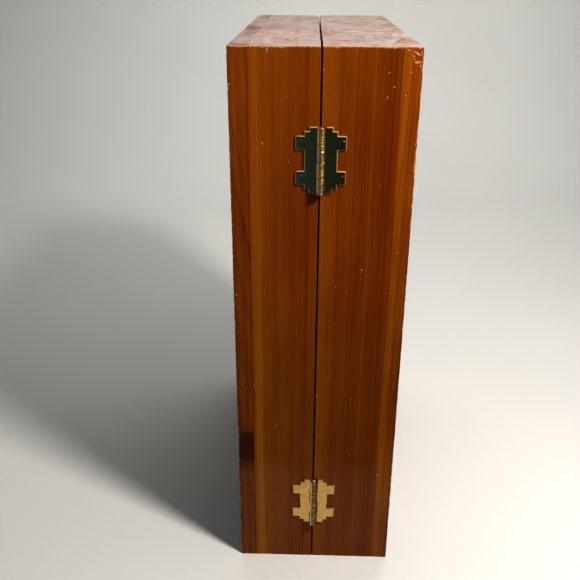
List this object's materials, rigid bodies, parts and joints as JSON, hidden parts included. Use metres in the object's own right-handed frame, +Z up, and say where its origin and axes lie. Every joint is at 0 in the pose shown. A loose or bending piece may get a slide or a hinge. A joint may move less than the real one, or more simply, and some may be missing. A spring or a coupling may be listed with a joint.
{
  "type": "mancala board",
  "caption": "Folding wooden mancala board, closed on its end: hollowed halves on stepped brass leaf hinges, with a swing hook on the opening edge.",
  "frame": {"origin": "centre of the closed board's bounding box, on the surface its bottom end stands on", "axes": "+Z up along the hinge pins (the board's length), +X from the left half to the right half through both thicknesses, -Y out of the hinged spine, +Y out of the latched opening edge"},
  "size_m": [0.0896, 0.2248, 0.302],
  "materials": {
    "core_wood": "gloss varnish over straight-grained red cedar",
    "panel_wood": "gloss varnish over knotty, wavy-grained red cedar",
    "hinge_brass": "polished and lacquered stamping",
    "pin_brass": "bright turned rod"
  },
  "bodies": {
    "left_half": {"left_panel": "panel_wood", "left_core_stave_1": "core_wood", "left_core_stave_2": "core_wood", "upper_hinge_left_leaf": "hinge_brass", "upper_hinge_pin": "pin_brass", "upper_hinge_brad_left_top": "hinge_brass", "upper_hinge_brad_left_bottom": "hinge_brass", "lower_hinge_left_leaf": "hinge_brass", "lower_hinge_pin": "pin_brass", "lower_hinge_brad_left_top": "hinge_brass", "lower_hinge_brad_left_bottom": "hinge_brass", "latch_pivot_plate": "hinge_brass", "latch_pivot_stud": "pin_brass", "latch_pivot_brad_top": "hinge_brass", "latch_pivot_brad_bottom": "hinge_brass"},
    "right_half": {"right_panel": "panel_wood", "right_core_stave_1": "core_wood", "right_core_stave_2": "core_wood", "right_core_stave_3": "core_wood", "upper_hinge_right_leaf": "hinge_brass", "upper_hinge_brad_right_top": "hinge_brass", "upper_hinge_brad_right_bottom": "hinge_brass", "lower_hinge_right_leaf": "hinge_brass", "lower_hinge_brad_right_top": "hinge_brass", "lower_hinge_brad_right_bottom": "hinge_brass", "latch_catch_plate": "hinge_brass", "latch_catch_post": "pin_brass", "latch_catch_brad_top": "hinge_brass", "latch_catch_brad_bottom": "hinge_brass"},
    "latch_hook": {"latch_hook": "hinge_brass"}
  },
  "joints": [
    {"name": "fold", "type": "hinge", "parent": "left_half", "child": "right_half", "pos_m": [-0.0008, -0.1102, 0.151], "axis": [0, 0, -1], "range_deg": [0, 180]},
    {"name": "latch_swing", "type": "hinge", "parent": "left_half", "child": "latch_hook", "pos_m": [-0.01075, 0.11, 0.151], "axis": [0, 1, 0], "range_deg": [-45, 270]}
  ]
}
